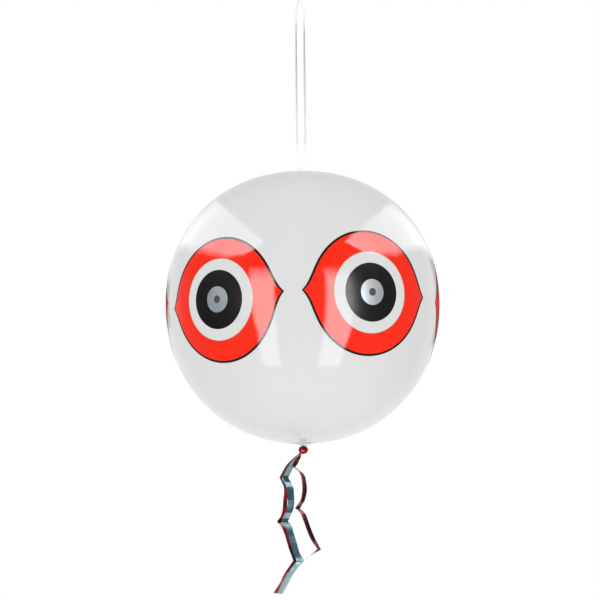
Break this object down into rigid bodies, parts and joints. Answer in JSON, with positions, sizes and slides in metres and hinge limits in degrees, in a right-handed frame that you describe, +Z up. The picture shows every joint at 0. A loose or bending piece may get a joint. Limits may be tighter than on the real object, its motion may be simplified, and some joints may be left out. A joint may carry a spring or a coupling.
{
  "type": "bird scare balloon",
  "caption": "Inflated film ball with ringed eyes printed round it, hung on a doubled cord, with a foil streamer tied to the plug of its inflation valve.",
  "frame": {"origin": "top of the inside of the cord's eye, where a hook holds the balloon", "axes": "+Z up along the cord and the line of the two poles; -Y is the front in the picture"},
  "size_m": [0.4011, 0.4013, 0.9177],
  "materials": {
    "film": "glossy white film",
    "black_ink": "glossy print",
    "red_ink": "glossy print",
    "hologram": "holographic silver",
    "grey_ink": "satin print",
    "clear_vinyl": "clear gloss",
    "white_vinyl": "satin moulded",
    "silver_foil": "mirror foil",
    "red_foil": "mirror foil"
  },
  "bodies": {
    "hanger": {"hang_loop": "clear_vinyl"},
    "swivel": {"hang_knot": "clear_vinyl"},
    "cord": {"hang_cord": "clear_vinyl"},
    "balloon": {"hang_tab": "clear_vinyl", "valve_body": "white_vinyl", "plug_strap": "white_vinyl", "gore_1": "film", "gore_2": "film", "gore_3": "film", "gore_4": "film", "gore_5": "film", "eye_outline_1": "black_ink", "eye_outline_2": "black_ink", "eye_outline_3": "black_ink", "eye_outline_4": "black_ink", "eye_outline_5": "black_ink", "eye_pupil_1": "black_ink", "eye_pupil_2": "black_ink", "eye_pupil_3": "black_ink", "eye_pupil_4": "black_ink", "eye_pupil_5": "black_ink", "eye_iris_1": "red_ink", "eye_iris_2": "red_ink", "eye_iris_3": "red_ink", "eye_iris_4": "red_ink", "eye_iris_5": "red_ink", "eye_disc_1": "hologram", "eye_disc_2": "hologram", "eye_disc_3": "hologram", "eye_disc_4": "hologram", "eye_disc_5": "hologram", "eye_dot_1": "grey_ink", "eye_dot_2": "grey_ink", "eye_dot_3": "grey_ink", "eye_dot_4": "grey_ink", "eye_dot_5": "grey_ink"},
    "flap": {"valve_flap": "white_vinyl"},
    "plug": {"valve_plug": "white_vinyl"},
    "streamer_knot": {"ribbon_knot": "red_foil"},
    "streamer": {"tail_silver": "silver_foil", "tail_red": "red_foil", "tail_right": "red_foil"}
  },
  "joints": [
    {"name": "twist", "type": "hinge", "parent": "hanger", "child": "swivel", "pos_m": [0, 0, -0.0333], "axis": [0, 0, 1], "range_deg": [-180, 180]},
    {"name": "swing_side", "type": "hinge", "parent": "swivel", "child": "cord", "pos_m": [0, 0, -0.0333], "axis": [0, 1, 0], "range_deg": [-60, 60]},
    {"name": "rock_fore", "type": "hinge", "parent": "cord", "child": "balloon", "pos_m": [0, 0, -0.2909], "axis": [1, 0, 0], "range_deg": [-45, 45]},
    {"name": "plug_pull", "type": "slide", "parent": "balloon", "child": "plug", "axis": [0, 0, -1], "range_m": [0, 0.012], "deforming": ["plug_strap"]},
    {"name": "flap_open", "type": "hinge", "parent": "balloon", "child": "flap", "pos_m": [0, 0.0049, -0.67375], "axis": [-1, 0, 0], "range_deg": [0, 60]},
    {"name": "streamer_fore", "type": "hinge", "parent": "plug", "child": "streamer_knot", "pos_m": [0, 0, -0.7036], "axis": [1, 0, 0], "range_deg": [-60, 60]},
    {"name": "streamer_side", "type": "hinge", "parent": "streamer_knot", "child": "streamer", "pos_m": [0, 0, -0.7036], "axis": [0, 1, 0], "range_deg": [-60, 60]}
  ]
}
